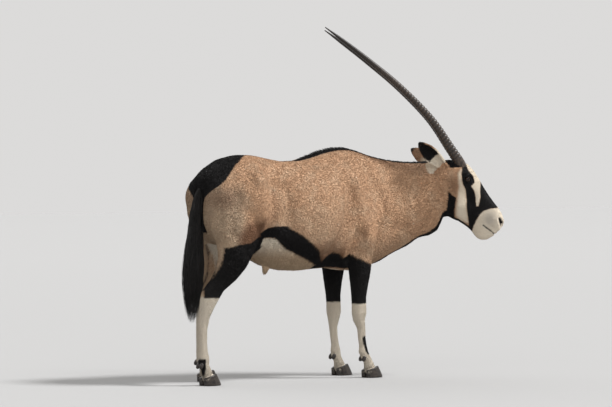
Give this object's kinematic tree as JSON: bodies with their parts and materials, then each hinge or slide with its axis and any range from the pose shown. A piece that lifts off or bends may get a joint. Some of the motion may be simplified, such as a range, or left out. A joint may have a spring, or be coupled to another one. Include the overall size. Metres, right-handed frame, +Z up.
{
  "type": "gemsbok",
  "caption": "Gemsbok bull standing with its head turned to its right, long back-swept ringed horns, black and white face, dark flank stripe and hanging black tail tassel.",
  "frame": {"origin": "centre of the bottom of the bounding box, on the ground the hooves stand on", "axes": "+X the way the trunk points, +Y the animal's left, +Z up"},
  "size_m": [1.7631, 0.7234, 1.807],
  "materials": {
    "coat_tan": "short flat fawn-grey fur",
    "coat_black": "short black fur",
    "coat_white": "short white fur",
    "horn": "ringed dark horn, smooth towards the tip",
    "hoof": "dull dark horn",
    "eye": "wet, dark brown"
  },
  "bodies": {
    "root": {"trunk": "coat_tan", "neck": "coat_tan", "head": "coat_white", "eye_right": "eye", "horn_right": "horn", "ear_right": "coat_tan", "eye_left": "eye", "horn_left": "horn", "ear_left": "coat_tan", "foreleg_right_upper": "coat_black", "foreleg_right_lower": "coat_white", "hoof_foreleg_right_outer": "hoof", "dewclaw_foreleg_right_outer": "hoof", "hoof_foreleg_right_inner": "hoof", "dewclaw_foreleg_right_inner": "hoof", "foreleg_left_upper": "coat_black", "foreleg_left_lower": "coat_white", "hoof_foreleg_left_outer": "hoof", "dewclaw_foreleg_left_outer": "hoof", "hoof_foreleg_left_inner": "hoof", "dewclaw_foreleg_left_inner": "hoof", "hindleg_right_upper": "coat_black", "hindleg_right_lower": "coat_white", "hoof_hindleg_right_outer": "hoof", "dewclaw_hindleg_right_outer": "hoof", "hoof_hindleg_right_inner": "hoof", "dewclaw_hindleg_right_inner": "hoof", "hindleg_left_upper": "coat_black", "hindleg_left_lower": "coat_white", "hoof_hindleg_left_outer": "hoof", "dewclaw_hindleg_left_outer": "hoof", "hoof_hindleg_left_inner": "hoof", "dewclaw_hindleg_left_inner": "hoof", "tail_dock": "coat_black", "tail_tassel": "coat_black"}
  },
  "joints": []
}
